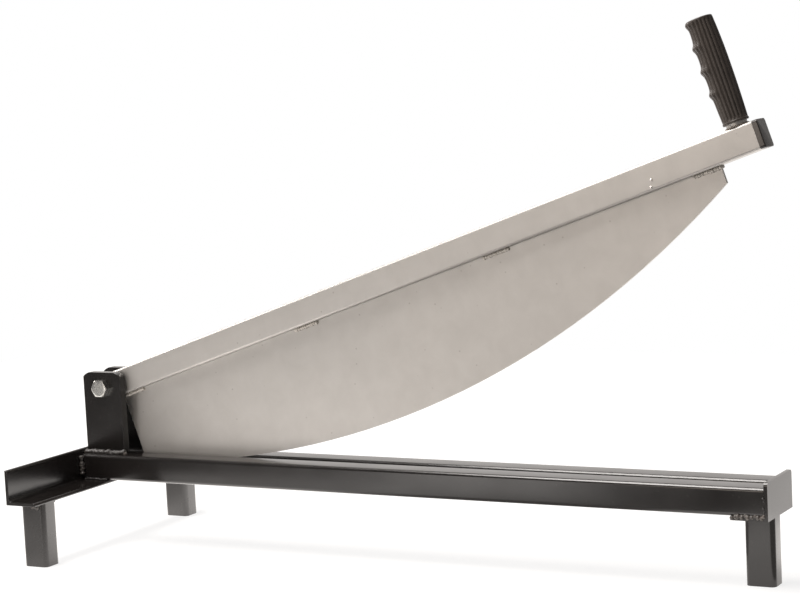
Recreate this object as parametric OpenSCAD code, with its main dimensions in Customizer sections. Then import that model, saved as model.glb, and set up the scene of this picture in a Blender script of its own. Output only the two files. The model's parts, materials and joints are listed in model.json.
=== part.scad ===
// Slate cutter: a long blade under a lever arm, which shears slate against a slotted bed.
// Millimetres, +Z up. The origin is on the ground, under the middle of the whole machine.
// +X runs along the bed from the pivot to the handle, and the blade swings in the plane y = 0.

/* [Angle irons] */
// Length of the bed over the outer faces of the two angle irons
frame_len = 850; // [700:1:1000]
// Flange width of both angle irons
angle_leg = 40; // [35:1:50]
// Flange thickness of both angle irons
angle_t = 4; // [3:0.5:5]
// Radius in the root of both angle irons
angle_root = 4; // [2:0.5:5]
// Clearance between a rail's end and the root of the angle iron it sits in
root_clear = 0.5; // [0.2:0.1:1]
// Length of the cross angle at the pivot end
cross_angle_len = 350; // [280:1:450]
// Length of the end angle at the handle end
end_angle_len = 77; // [72:1:100]
// Radius of the top corners of the end angle
end_angle_corner = 4; // [1:0.5:6]

/* [Bed rails] */
// Outer size of the square tube of both rails
rail_size = 30; // [30:1:40]
// Wall of the rail tube
rail_wall = 2.5; // [2:0.5:4]
// Outer corner radius of the rail tube
rail_corner = 4; // [3:0.25:4]

/* [Legs] */
// Width of a leg along the bed
leg_w = 32; // [24:1:33]
// Depth of a leg across the bed
leg_d = 25; // [20:1:32]
// Wall of the leg tube
leg_wall = 2; // [1.5:0.5:3]
// Outer corner radius of the leg tube
leg_corner = 5.5; // [2.5:0.25:6]
// Height of the legs
leg_h = 74; // [60:1:120]
// Distance from an end of the cross angle to the leg under it
leg_inset = 20; // [8:1:40]
// Distance of the single leg behind the middle of the end angle
right_leg_off = 2; // [0:0.5:6]

/* [Uprights] */
// Width of an upright along the bed
upright_w = 53; // [44:1:60]
// Thickness of an upright
upright_t = 10; // [8:1:11]
// Height of the uprights above the bed
upright_h = 96.5; // [90:0.5:130]
// Gap from the cross angle's upstand to the uprights
upright_gap = 2.5; // [2:0.5:12]
// Radius of the ground top corners of an upright
upright_round = 14; // [12:0.5:18]
// Distance from an upright's edge at which its rounding reaches the top
upright_shoulder = 11; // [8:0.5:12]

/* [Pivot] */
// Thread diameter of the pivot bolt
bolt_d = 12; // [10:0.5:13]
// Width across flats of the bolt head and the nut
bolt_af = 19; // [17:0.5:22]
// Height of the bolt head
bolt_head_h = 7.5; // [6:0.5:10]
// Length of the bolt under its head
bolt_len = 70; // [69:1:90]
// Height of the lock nut
nut_h = 12; // [8:0.5:13]
// Height of the round collar on the lock nut
nut_collar = 4; // [2:0.5:5]
// Diameter of that collar
nut_collar_d = 16.5; // [15:0.5:18]
// Chamfer of the corners of the bolt head and the nut
hex_chamfer = 1.5; // [0.5:0.1:2]
// Outer diameter of the washers
washer_od = 24; // [22:0.5:28]
// Thickness of the washers
washer_t = 2.5; // [1.5:0.25:3]
// Distance from the top of the uprights to the pivot
pivot_drop = 18.5; // [16:0.5:28]
// Wall of the sleeve in the arm
sleeve_wall = 3; // [2:0.25:4]
// Radial running clearance of the bolt in the sleeve
run_clear = 0.05; // [0.02:0.01:0.1]
// Radial clearance of the bolt in the uprights and washers
hole_clear = 0.5; // [0.2:0.1:0.8]
// Side play between each arm washer and its upright
side_play = 0.25; // [0.2:0.05:0.6]

/* [Arm] */
// Height of the arm tube
arm_h = 30; // [26:1:40]
// Width of the arm tube
arm_w = 25; // [20:1:28]
// Wall of the arm tube
arm_wall = 2.5; // [1.5:0.25:3]
// Outer corner radius of the arm tube
arm_corner = 3; // [2.5:0.25:4]
// Length of the arm behind the pivot
arm_tail = 20; // [14:1:25]
// Length of the arm tube beyond the toe of the blade
arm_past_toe = 49; // [40:1:120]
// Angle at which the arm rests above the bed
arm_angle = 18.75; // [5:0.25:60]
// Thickness of the end cap's head
cap_head = 6; // [3:0.5:10]
// Depth of the end cap's plug
cap_plug = 14; // [6:1:25]
// Clearance around the end cap's plug
plug_clear = 0.2; // [0.1:0.05:0.5]

/* [Blade] */
// Thickness of the blade
blade_t = 4; // [3:0.5:6]
// Length of the blade
blade_len = 795; // [700:1:810]
// Distance from the pivot to the heel of the blade, along the arm
blade_start = 10; // [5:1:20]
// Greatest depth of the blade below the arm
blade_depth = 134; // [120:1:145]
// Depth of the blade at its toe
blade_toe = 19; // [10:1:40]
// Radius of the cutting edge
blade_radius = 1027; // [990:1:1300]
// Gap between the blade and each rail
blade_clear = 3.5; // [1:0.25:5]

/* [Handle] */
// Diameter of the bar that carries the grip
stub_d = 22; // [16:0.5:22]
// Wall of that bar
stub_wall = 2; // [1:0.5:5]
// Bare length of the bar between the arm and the grip
stub_neck = 4.75; // [4:0.25:12]
// Distance from the end of the arm tube to the bar's axis
stub_from_end = 19; // [16:1:60]
// Diameter of the grip
grip_d = 28; // [26:0.5:34]
// Length of the grip
grip_len = 112; // [104:1:140]
// Thickness of the grip's closed end
grip_end = 5; // [3:0.5:8]
// Radius of the grip's top edge
grip_round = 1.5; // [1:0.5:6]
// How far the grip's lower rim stands out
grip_rim = 0.8; // [0.4:0.1:2]
// Height of the grip's lower rim
grip_rim_h = 3; // [2:0.5:8]
// Number of finger ridges on the side towards the pivot
ridge_count = 4; // [2:1:4]
// Distance from the top of the grip to its first ridge
ridge_top = 4.7; // [4.5:0.1:8]
// Spacing of the finger ridges
ridge_pitch = 24.8; // [22:0.1:28]
// How far a finger ridge stands out
ridge_h = 2.5; // [1:0.1:4]
// Radius of the crown of a finger ridge
ridge_round = 4.5; // [3:0.25:4.5]

/* [Welds] */
// Leg of the weld beads on the frame
weld_leg = 4.25; // [3:0.25:4.5]
// Width of the flush seam beads at the end angle
seam_w = 8; // [7.5:0.25:9]
// Height of the flush seam beads at the end angle
seam_h = 2; // [1:0.25:2.5]
// Leg of the stitch welds between blade and arm
stitch_leg = 3; // [2:0.25:4]
// Length of a stitch weld
stitch_len = 30; // [15:1:60]
// Number of stitch welds on each side of the blade
stitch_count = 4; // [2:1:8]
// Leg of the weld ring around the grip's bar
ring_leg = 1.4; // [1:0.1:2.4]

/* [Hidden] */
$fn = 64;

black_paint = "#262321";
bare_steel = "#a89f97";
zinc = "#c9c8c6";
weld_paint = "#3a3633";
black_rubber = "#2b2827";
grey_plastic = "#4a4644";

// Heights
bed_bottom = leg_h + angle_t;
bed_top = bed_bottom + rail_size;
upright_top = bed_top + upright_h;
pivot_z = upright_top - pivot_drop;

// Places across the bed
slot_w = blade_t + 2 * blade_clear;
bed_half = slot_w / 2 + rail_size;
arm_half = arm_w / 2;
upright_in = arm_half + washer_t + side_play;
upright_out = upright_in + upright_t;
end_angle_y = -bed_half;
right_leg_y = end_angle_y + (end_angle_len - leg_d) / 2 + right_leg_off;
left_leg_y = cross_angle_len / 2 - leg_inset - leg_d;

// Places along the bed, from the outer face of the cross angle
leg_x = (angle_leg - leg_w) / 2;
right_leg_x = frame_len - angle_leg + leg_x;
rail_end_x = frame_len - angle_t;
end_flange_x = frame_len - angle_leg;
upright_x = angle_t + upright_gap;
pivot_x = upright_x + upright_w / 2;

// Places along the arm, from the pivot
toe_u = blade_start + blade_len;
arm_reach = toe_u + arm_past_toe;
cap_tip = arm_reach + cap_head;
stub_u = arm_reach - stub_from_end;
grip_w = arm_h / 2 + stub_neck;
bolt_fit_r = bolt_d / 2 + run_clear;
sleeve_od = 2 * (bolt_fit_r + sleeve_wall);
bolt_hole = bolt_d + 2 * hole_clear;

// The cutting edge is an arc about a centre above the arm, and ends at the toe
edge_w = blade_radius - blade_depth - arm_h / 2;
toe_rise = blade_radius - blade_depth + blade_toe;
edge_u = toe_u - sqrt(blade_radius * blade_radius - toe_rise * toe_rise);

// The middle of the whole machine along the bed
tip_x = pivot_x + cap_tip * cos(arm_angle) + arm_h / 2 * sin(arm_angle);
tail_x = pivot_x - arm_tail * cos(arm_angle) - arm_h / 2 * sin(arm_angle);
mid_x = (max(frame_len, tip_x) + min(0, tail_x)) / 2;

// How far shapes that cut run past what they cut
over = 1;

// Frames of reference for the bed and for the arm

module on_bed() {
    translate([-mid_x, 0, 0]) children();
}

module on_arm() {
    on_bed() translate([pivot_x, 0, pivot_z]) rotate([0, -arm_angle, 0]) children();
}

// Turns a profile drawn along the bed and upwards into a plate of thickness t from y0
module plate(y0, t) {
    translate([0, y0 + t, 0]) rotate([90, 0, 0]) linear_extrude(t) children();
}

// Shapes that repeat

module rounded_box_profile(w, h, r) {
    translate([-w / 2 + r, -h / 2]) square([w - 2 * r, h]);
    translate([-w / 2, -h / 2 + r]) square([w, h - 2 * r]);
    for (x = [-1, 1], y = [-1, 1])
        translate([x * (w / 2 - r), y * (h / 2 - r)]) circle(r);
}

module tube_profile(w, h, r, wall) {
    difference() {
        rounded_box_profile(w, h, r);
        rounded_box_profile(w - 2 * wall, h - 2 * wall, max(r - wall, 0.5));
    }
}

// An angle iron's section, with its corner at the origin and its root filled by a radius
module angle_profile() {
    square([angle_leg, angle_t]);
    square([angle_t, angle_leg]);
    translate([angle_t, angle_t]) difference() {
        square(angle_root);
        translate([angle_root, angle_root]) circle(angle_root);
    }
}

// A weld bead in a corner: a quarter round along +Z, in the quadrant of +X and +Y
module bead(leg, len) {
    linear_extrude(len) intersection() {
        circle(leg);
        square(leg);
    }
}

// Points a bead's corner towards sy across the bed and sz upwards
module into_corner(sy, sz) {
    mirror([0, sy < 0 ? 1 : 0, 0]) mirror([0, 0, sz < 0 ? 1 : 0]) children();
}

// A bead along +X that fills the corner towards sy across the bed and sz upwards
module bead_along_x(leg, x0, x1, y, z, sy, sz) {
    translate([x0, y, z]) into_corner(sy, sz) rotate([90, 0, 90]) bead(leg, x1 - x0);
}

// A flat bead over a flush seam: a segment of a circle that stands out towards -Y, along +Z
module seam(len) {
    r = (seam_h * seam_h + seam_w * seam_w / 4) / (2 * seam_h);
    linear_extrude(len) intersection() {
        translate([0, r - seam_h]) circle(r);
        translate([-seam_w / 2, -seam_h]) square([seam_w, seam_h]);
    }
}

// A hexagon with its flats af apart and its outer corners turned off, along +Z
module hexagon(af, h, chamfer) {
    r = af / 2 / cos(30);
    intersection() {
        cylinder(r = r, h = h, $fn = 6);
        rotate_extrude() polygon([
            [0, 0], [r + over, 0], [r + over, h - chamfer - over * tan(30)],
            [af / 2 - chamfer, h], [0, h]
        ]);
    }
}

module washer() {
    difference() {
        cylinder(d = washer_od, h = washer_t);
        translate([0, 0, -over]) cylinder(d = bolt_hole, h = washer_t + 2 * over);
    }
}

// Points +Z along +Y, from the place y on the pivot's axis
module along_pivot(y) {
    on_bed() translate([pivot_x, y, pivot_z]) rotate([-90, 0, 0]) children();
}

// Bed and legs

// The lower edge of each end is cut back to clear the root of the angle iron there
module rail(side) {
    y_mid = side * (slot_w + rail_size) / 2;
    cut = angle_root + root_clear;
    on_bed() difference() {
        translate([angle_t, y_mid, bed_bottom + rail_size / 2]) rotate([90, 0, 90])
            linear_extrude(rail_end_x - angle_t)
                tube_profile(rail_size, rail_size, rail_corner, rail_wall);
        plate(y_mid - rail_size, 2 * rail_size) {
            polygon([
                [angle_t - over, bed_bottom - over], [angle_t + cut + over, bed_bottom - over],
                [angle_t - over, bed_bottom + cut + over]
            ]);
            polygon([
                [rail_end_x + over, bed_bottom - over], [rail_end_x - cut - over, bed_bottom - over],
                [rail_end_x + over, bed_bottom + cut + over]
            ]);
        }
    }
}

module front_rail() { color(black_paint) rail(-1); }

module rear_rail() { color(black_paint) rail(1); }

module cross_angle() {
    color(black_paint) on_bed() translate([0, 0, leg_h])
        plate(-cross_angle_len / 2, cross_angle_len) angle_profile();
}

module end_angle() {
    color(black_paint) on_bed() intersection() {
        translate([frame_len, 0, leg_h]) mirror([1, 0, 0])
            plate(end_angle_y, end_angle_len) angle_profile();
        translate([end_flange_x - over, end_angle_y + end_angle_len / 2, leg_h])
            rotate([90, 0, 90]) linear_extrude(angle_leg + 2 * over)
                rounded_box_profile(end_angle_len, 2 * angle_leg, end_angle_corner);
    }
}

module leg(x, y) {
    on_bed() translate([x + leg_w / 2, y + leg_d / 2, 0]) linear_extrude(leg_h)
        tube_profile(leg_w, leg_d, leg_corner, leg_wall);
}

module front_left_leg() { color(black_paint) leg(leg_x, -left_leg_y - leg_d); }

module rear_left_leg() { color(black_paint) leg(leg_x, left_leg_y); }

module right_leg() { color(black_paint) leg(right_leg_x, right_leg_y); }

// Uprights and pivot

module upright_profile() {
    round_z = upright_h - upright_round;
    side_z = round_z + sqrt(upright_round * upright_round - upright_shoulder * upright_shoulder);
    intersection() {
        square([upright_w, upright_h]);
        union() {
            square([upright_w, side_z]);
            translate([upright_shoulder, 0]) square([upright_w - 2 * upright_shoulder, upright_h]);
            translate([upright_shoulder, round_z]) circle(upright_round);
            translate([upright_w - upright_shoulder, round_z]) circle(upright_round);
        }
    }
}

module upright(y0) {
    on_bed() translate([upright_x, 0, bed_top]) plate(y0, upright_t) difference() {
        upright_profile();
        translate([upright_w / 2, upright_h - pivot_drop]) circle(d = bolt_hole);
    }
}

module front_upright() { color(black_paint) upright(-upright_out); }

module rear_upright() { color(black_paint) upright(upright_in); }

module pivot_bolt() {
    color(zinc) {
        along_pivot(-upright_out) mirror([0, 0, 1]) hexagon(bolt_af, bolt_head_h, hex_chamfer);
        along_pivot(-upright_out) cylinder(d = bolt_d, h = bolt_len);
    }
}

module nut_washer() { color(zinc) along_pivot(upright_out) washer(); }

// The round collar on the lock nut holds its locking ring
module pivot_nut() {
    color(zinc) along_pivot(upright_out + washer_t) difference() {
        union() {
            hexagon(bolt_af, nut_h - nut_collar, hex_chamfer);
            cylinder(d = nut_collar_d, h = nut_h);
        }
        translate([0, 0, -over]) cylinder(r = bolt_fit_r, h = nut_h + 2 * over);
    }
}

// Welds of the frame

module cross_angle_welds() {
    color(weld_paint) on_bed() for (side = [-1, 1]) {
        y = side * bed_half;
        translate([angle_t, y, bed_bottom + rail_corner]) mirror([0, side < 0 ? 1 : 0, 0])
            bead(weld_leg, rail_size - 2 * rail_corner);
        bead_along_x(weld_leg, angle_t + max(weld_leg, angle_root), angle_leg, y, bed_bottom, side, 1);
    }
}

module end_angle_welds() {
    color(weld_paint) on_bed() {
        // Flush seams on the front
        translate([rail_end_x, -bed_half, bed_bottom + rail_corner])
            seam(rail_size - 2 * rail_corner);
        translate([end_flange_x, -bed_half, bed_bottom - angle_t + seam_w / 2])
            rotate([0, 90, 0]) seam(angle_leg - angle_t - seam_w / 2);
        // Corner beads at the back
        translate([rail_end_x, bed_half, bed_bottom + rail_corner]) mirror([1, 0, 0])
            bead(weld_leg, rail_size - 2 * rail_corner);
        bead_along_x(weld_leg, end_flange_x, rail_end_x - max(weld_leg, angle_root),
                     bed_half, bed_bottom, 1, 1);
    }
}

// Beads on the near and the far side of a leg, under the flange that it carries
module leg_beads(x, y) {
    for (side = [0, 1])
        bead_along_x(weld_leg, x + leg_corner, x + leg_w - leg_corner,
                     y + side * leg_d, leg_h, 2 * side - 1, -1);
}

module leg_welds() {
    color(weld_paint) on_bed() {
        leg_beads(leg_x, -left_leg_y - leg_d);
        leg_beads(leg_x, left_leg_y);
        leg_beads(right_leg_x, right_leg_y);
    }
}

module upright_welds() {
    color(weld_paint) on_bed() for (side = [-1, 1])
        bead_along_x(weld_leg, upright_x, upright_x + upright_w, side * upright_out, bed_top, side, 1);
}

// Lever

module arm_tube() {
    color(bare_steel) on_arm() difference() {
        translate([-arm_tail, 0, 0]) rotate([90, 0, 90]) linear_extrude(arm_tail + arm_reach)
            tube_profile(arm_w, arm_h, arm_corner, arm_wall);
        rotate([90, 0, 0])
            cylinder(d = sleeve_od + 2 * run_clear, h = arm_w + 2 * over, center = true);
    }
}

module pivot_sleeve() {
    color(bare_steel) on_arm() rotate([90, 0, 0]) difference() {
        cylinder(d = sleeve_od, h = arm_w, center = true);
        cylinder(r = bolt_fit_r, h = arm_w + 2 * over, center = true);
    }
}

module spacer_washers() {
    color(zinc) {
        along_pivot(-arm_half - washer_t) washer();
        along_pivot(arm_half) washer();
    }
}

module blade() {
    color(bare_steel) on_arm() plate(-blade_t / 2, blade_t) intersection() {
        translate([blade_start, -arm_h / 2 - blade_depth]) square([blade_len, blade_depth]);
        translate([edge_u, edge_w]) circle(blade_radius, $fn = 360);
    }
}

module blade_welds() {
    step = (blade_len - stitch_len) / (stitch_count - 1);
    color(bare_steel) on_arm() for (i = [0 : stitch_count - 1], side = [-1, 1]) {
        u = blade_start + i * step;
        bead_along_x(stitch_leg, u, u + stitch_len, side * blade_t / 2, -arm_h / 2, side, -1);
    }
}

module arm_end_cap() {
    gap = 2 * (arm_wall + plug_clear);
    color(grey_plastic) on_arm() translate([arm_reach, 0, 0]) rotate([90, 0, 90]) {
        linear_extrude(cap_head) rounded_box_profile(arm_w, arm_h, arm_corner);
        translate([0, 0, -cap_plug]) linear_extrude(cap_plug)
            rounded_box_profile(arm_w - gap, arm_h - gap, max(arm_corner - arm_wall, 0.5));
    }
}

module handle_bar() {
    len = stub_neck + grip_len - grip_end;
    color(bare_steel) on_arm() translate([stub_u, 0, arm_h / 2]) difference() {
        cylinder(d = stub_d, h = len);
        translate([0, 0, -over]) cylinder(d = stub_d - 2 * stub_wall, h = len + 2 * over);
    }
}

module handle_weld() {
    color(bare_steel) on_arm() translate([stub_u, 0, arm_h / 2]) rotate_extrude()
        translate([stub_d / 2, 0]) intersection() {
            circle(ring_leg);
            square(ring_leg);
        }
}

// A finger ridge is a ring set off towards the pivot, so that only one side stands out
module hand_grip() {
    r = grip_d / 2;
    color(black_rubber) on_arm() translate([stub_u, 0, grip_w]) difference() {
        union() {
            rotate_extrude() {
                square([r - grip_round, grip_len]);
                square([r, grip_len - grip_round]);
                translate([r - grip_round, grip_len - grip_round]) intersection() {
                    circle(grip_round);
                    square(grip_round);
                }
            }
            cylinder(r = r + grip_rim, h = grip_rim_h);
            for (i = [0 : ridge_count - 1])
                translate([-ridge_h, 0, grip_len - ridge_top - i * ridge_pitch])
                    rotate_extrude() translate([r - ridge_round, 0]) circle(ridge_round);
        }
        translate([0, 0, -over]) cylinder(d = stub_d + 2 * run_clear, h = grip_len - grip_end + over);
    }
}

front_rail();
rear_rail();
cross_angle();
end_angle();
front_left_leg();
rear_left_leg();
right_leg();
front_upright();
rear_upright();
pivot_bolt();
nut_washer();
pivot_nut();
cross_angle_welds();
end_angle_welds();
leg_welds();
upright_welds();
arm_tube();
pivot_sleeve();
spacer_washers();
blade();
blade_welds();
arm_end_cap();
handle_bar();
handle_weld();
hand_grip();
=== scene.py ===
# %% [markdown]
# # A slate cutter, dressed for the camera
# The machine is a low bed of two square tubes on three legs, with a long lever that swings a curved
# blade down into the slot between the tubes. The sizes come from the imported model, which is loaded as a
# fixed frame: nothing in it is moved here, it only gets finishes, or a finer piece in its place.
# This lesson goes from units to finishes, then piece by piece, and ends with light and camera.

# %% Load the frame
import json
import math
from functools import partial

import bmesh
import bpy
from mathutils import Matrix, Vector


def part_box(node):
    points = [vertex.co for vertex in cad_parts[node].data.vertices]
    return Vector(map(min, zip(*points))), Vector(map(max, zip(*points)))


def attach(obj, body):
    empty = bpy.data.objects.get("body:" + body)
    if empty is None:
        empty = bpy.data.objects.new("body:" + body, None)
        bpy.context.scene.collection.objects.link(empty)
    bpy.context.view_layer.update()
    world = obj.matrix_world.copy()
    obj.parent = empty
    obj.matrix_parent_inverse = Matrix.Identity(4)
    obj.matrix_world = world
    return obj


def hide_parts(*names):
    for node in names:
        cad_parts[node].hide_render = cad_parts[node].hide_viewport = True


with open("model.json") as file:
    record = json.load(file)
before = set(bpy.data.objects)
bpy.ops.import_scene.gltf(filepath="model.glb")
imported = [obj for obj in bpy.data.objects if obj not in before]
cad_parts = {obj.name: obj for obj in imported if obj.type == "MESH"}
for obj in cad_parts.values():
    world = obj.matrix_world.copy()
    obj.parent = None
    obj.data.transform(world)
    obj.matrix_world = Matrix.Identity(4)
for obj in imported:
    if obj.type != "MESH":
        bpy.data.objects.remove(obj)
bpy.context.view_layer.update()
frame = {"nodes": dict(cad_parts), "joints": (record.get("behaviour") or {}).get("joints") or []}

# %% [markdown]
# ## Two frames of reference
# Blender works in metres and a fitter thinks in millimetres, so MM turns one into the other. The bed is
# square to the axes, but the lever rests at a slant. Its pieces are easier to draw along the arm, with X
# along it from the pivot and Z square to its top, so one matrix carries that drawing to its place.

# %% Units and the arm's own frame
MM = 0.001
ARM_REST = math.radians(18.75)
pivot = Vector(frame["joints"][0]["pos_m"])
on_arm = Matrix.Translation(pivot) @ Matrix.Rotation(-ARM_REST, 4, "Y")


def box_on_arm(node):
    """Lowest and highest corner of a node, measured along the arm from the pivot."""
    inverse = on_arm.inverted()
    points = [inverse @ v.co for v in frame["nodes"][node].data.vertices]
    lo = Vector(min(p[i] for p in points) for i in range(3))
    hi = Vector(max(p[i] for p in points) for i in range(3))
    return lo, hi


arm_lo, arm_hi = box_on_arm("arm_tube")
print("arm tube along its own frame, mm:", [round(x / MM, 1) for x in arm_hi - arm_lo])

# %% [markdown]
# ## Finishes
# Every finish is a small tree of shader nodes. Colours are written as the sRGB hex values that a colour
# picker gives, and a shader wants linear light, so one function converts them. A noise texture's scale is
# the number of patches in a metre, so another turns a real patch size in millimetres into a scale. Noise,
# a new range for a value, a blend of two colours and a bump are in nearly every finish, so each is a
# helper that adds its node and gives back the socket to go on from.

# %% Helpers for the finishes
def linear(hex_colour):
    """An sRGB hex colour as linear red, green, blue and alpha."""
    channels = [int(hex_colour[i : i + 2], 16) / 255 for i in (1, 3, 5)]
    return [c / 12.92 if c <= 0.04045 else ((c + 0.055) / 1.055) ** 2.4 for c in channels] + [1.0]


def patches(size_mm):
    """The texture scale that gives patches of this size."""
    return 1 / (size_mm * MM)


def add(tree, kind, inputs=None, **settings):
    """Adds one node, sets its settings, and links or sets its inputs."""
    node = tree.nodes.new(kind)
    for name, value in settings.items():
        setattr(node, name, value)
    for key, value in (inputs or {}).items():
        if isinstance(value, bpy.types.NodeSocket):
            tree.links.new(value, node.inputs[key])
        else:
            node.inputs[key].default_value = value
    return node


def new_finish(name, **constants):
    """A material with a Principled shader, whose constants are set on its own sockets."""
    material = bpy.data.materials.new(name)
    material.use_nodes = True
    tree = material.node_tree
    tree.nodes.clear()
    shader = add(tree, "ShaderNodeBsdfPrincipled", constants)
    add(tree, "ShaderNodeOutputMaterial", {"Surface": shader.outputs["BSDF"]})
    return material, tree, shader


def object_place(tree):
    """The shaded point, in the object's own metres."""
    return add(tree, "ShaderNodeTexCoord").outputs["Object"]


def noise(tree, place, size_mm, detail, **more):
    """Cloudy values around a half, in patches of this size."""
    inputs = {"Vector": place, "Scale": patches(size_mm), "Detail": detail, **more}
    return add(tree, "ShaderNodeTexNoise", inputs).outputs["Fac"]


def from_dots(tree, place, size_mm):
    """The distance from the nearest of many scattered dots, in cells of this size."""
    inputs = {"Vector": place, "Scale": patches(size_mm)}
    return add(tree, "ShaderNodeTexVoronoi", inputs).outputs["Distance"]


def remap(tree, value, low, high, first, last, easing="LINEAR"):
    """Turns the range from low to high into the one from first to last, and holds it at the ends."""
    return add(tree, "ShaderNodeMapRange", {
        "Value": value, "From Min": low, "From Max": high, "To Min": first, "To Max": last,
    }, interpolation_type=easing).outputs["Result"]


# A Mix node has sockets for each type of data. These are the places of its factor and its colour sockets.
MIX_FACTOR, MIX_A, MIX_B, MIX_OUT = 0, 6, 7, 2


def colour_mix(tree, factor, first, last):
    """A blend of two colours, each a hex value or a socket."""
    a, b = (linear(c) if isinstance(c, str) else c for c in (first, last))
    mix = add(tree, "ShaderNodeMix", {MIX_FACTOR: factor, MIX_A: a, MIX_B: b}, data_type="RGBA")
    return mix.outputs[MIX_OUT]


def bump(tree, height, strength, depth_mm, **more):
    """A normal tilted as if the height were this deep."""
    inputs = {"Height": height, "Strength": strength, "Distance": depth_mm * MM, **more}
    return add(tree, "ShaderNodeBump", inputs).outputs["Normal"]


def connect(tree, shader, colour, roughness, normal=None):
    """Links what a finish has worked out to its shader."""
    tree.links.new(colour, shader.inputs["Base Color"])
    tree.links.new(roughness, shader.inputs["Roughness"])
    if normal is not None:
        tree.links.new(normal, shader.inputs["Normal"])


# %% [markdown]
# ### Sprayed black enamel
# The frame is mild steel with one coat of semi-gloss black enamel. Up close it has a faint orange peel
# from the spray gun, it is a little glossier in some places than in others, and dust that fell on it
# while wet left tiny pale specks. A low, uneven roughness gives the broad streaks of light along the tubes.
# The two left legs look duller and smoother than the rest, so they have a finish of their own.

# %% Enamel
def black_enamel(name, rough_low, rough_high, peel_strength):
    material, tree, shader = new_finish(name, **{"IOR": 1.6, "Specular IOR Level": 0.5})
    place = object_place(tree)
    coat = colour_mix(tree, noise(tree, place, 28, 4.0), "#100e0d", "#1a1716")
    speck = remap(tree, from_dots(tree, place, 7), 0.05, 0.09, 0.35, 0.0)
    dusty = colour_mix(tree, speck, coat, "#5c5653")
    gloss = remap(tree, noise(tree, place, 70, 5.0), 0.3, 0.7, rough_low, rough_high)
    peel = bump(tree, noise(tree, place, 2.4, 2.0), peel_strength, 0.06)
    connect(tree, shader, dusty, gloss, peel)
    return material


enamel = black_enamel("black_enamel_sprayed", 0.15, 0.24, 0.25)
satin_enamel = black_enamel("black_enamel_dry_spray", 0.24, 0.32, 0.08)
print("finishes:", enamel.name, satin_enamel.name)

# %% [markdown]
# ### Enamel on a weld, with wear and painted highlights
# Paint doesn't hold well on slag and spatter. On the frame's welds, grey patches show partly metal where the
# paint has worn through and partly painted highlights on the ripples; some of the metal is rusting brown,
# and the rest stays black. Noise of about a ripple's size picks the places, and a larger noise picks which of
# them are brown. There are three copies: one on the cross angle and the legs; a palest one on the end
# angle's flange and the uprights' craters, a lit copy whose paler coat and patches are painted highlight;
# and a darkest one at the feet of the uprights.

# %% Enamel with wear and painted highlights
def enamel_with_wear_and_highlights(name, coat, metal, grey_share):
    """Enamel of this colour over metal; grey_share is how much metal colour the palest patches show, as wear
    and as painted highlight.
    """
    material, tree, shader = new_finish(name, **{"IOR": 1.6})
    place = object_place(tree)
    # Grey patches picked by noise: partly paint worn through to metal, partly painted highlights on the
    # ripples
    wear_and_highlight_mask = noise(tree, place, 4, 3.0)
    rusting = remap(tree, noise(tree, place, 10, 2.0), 0.56, 0.68, 0.0, 0.6)
    patch_colour_wear_and_highlight = colour_mix(tree, rusting, metal, "#745546")
    coat_with_wear_and_highlights = colour_mix(tree, remap(tree, wear_and_highlight_mask, 0.4, 0.7, 0.04, grey_share), coat, patch_colour_wear_and_highlight)
    connect(tree, shader, coat_with_wear_and_highlights, remap(tree, wear_and_highlight_mask, 0.0, 1.0, 0.25, 0.6))
    return material


weld_enamel_wear_and_highlights = enamel_with_wear_and_highlights("black_enamel_weld_wear_and_highlights", "#171412", "#7d7771", 0.5)
# The palest copy is a lit copy: its paler coat and grey patches are painted highlight, with some rust
weld_enamel_palest_lit_copy = enamel_with_wear_and_highlights("black_enamel_weld_palest_painted_highlights", "#35302d", "#8a847e", 0.6)
weld_enamel_darkest = enamel_with_wear_and_highlights("black_enamel_weld_darkest", "#1a1715", "#443f3c", 0.4)
print("finishes:", weld_enamel_wear_and_highlights.name, weld_enamel_palest_lit_copy.name, weld_enamel_darkest.name)

# %% [markdown]
# ### Bare cold-rolled steel
# The blade and the arm are left bare. Cold-rolled steel has a satin skin, cloudy where oil and handling
# have dulled it, with faint lines that the rolls drew along the sheet, and the odd dark fleck of scale.
# The pattern lies along the arm, so a Mapping node first turns the coordinates by the arm's slant.

# %% Steel
def bare_steel():
    material, tree, shader = new_finish("bare_steel_cold_rolled", **{"Metallic": 1.0})
    slant = {"Vector": object_place(tree), "Rotation": (0, ARM_REST, 0)}
    along = add(tree, "ShaderNodeMapping", slant).outputs["Vector"]
    stretch = {"Vector": along, "Scale": (patches(160), patches(1.6), patches(1.6))}
    rolled = add(tree, "ShaderNodeMapping", stretch).outputs["Vector"]
    lines = add(tree, "ShaderNodeTexNoise", {"Vector": rolled, "Scale": 1.0, "Detail": 3.0}).outputs["Fac"]
    blotch = noise(tree, along, 26, 5.0, Roughness=0.6, Distortion=0.4)
    sheet = colour_mix(tree, noise(tree, along, 190, 2.0), "#c3c1be", "#cfccc8")
    handled = colour_mix(tree, remap(tree, blotch, 0.35, 0.75, 0.0, 0.22), sheet, "#b0ada9")
    fleck = remap(tree, from_dots(tree, along, 16), 0.03, 0.08, 0.35, 0.0)
    flecked = colour_mix(tree, fleck, handled, "#736b64")
    satin = remap(tree, blotch, 0.3, 0.7, 0.48, 0.52)
    connect(tree, shader, flecked, satin, bump(tree, lines, 0.2, 0.02))
    return material


steel = bare_steel()
print("finish:", steel.name)

# %% [markdown]
# ### Weld metal
# A weld that was left bare is steel too, but it froze from a puddle, with a tint from the heat and a film
# of slag. The stitches under the arm are pale and satin, their paleness partly painted light against the
# shade under the arm; the ring round the grip's bar is darker; and two drops of spatter on the arm are smooth
# and bright enough to glint.

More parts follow.
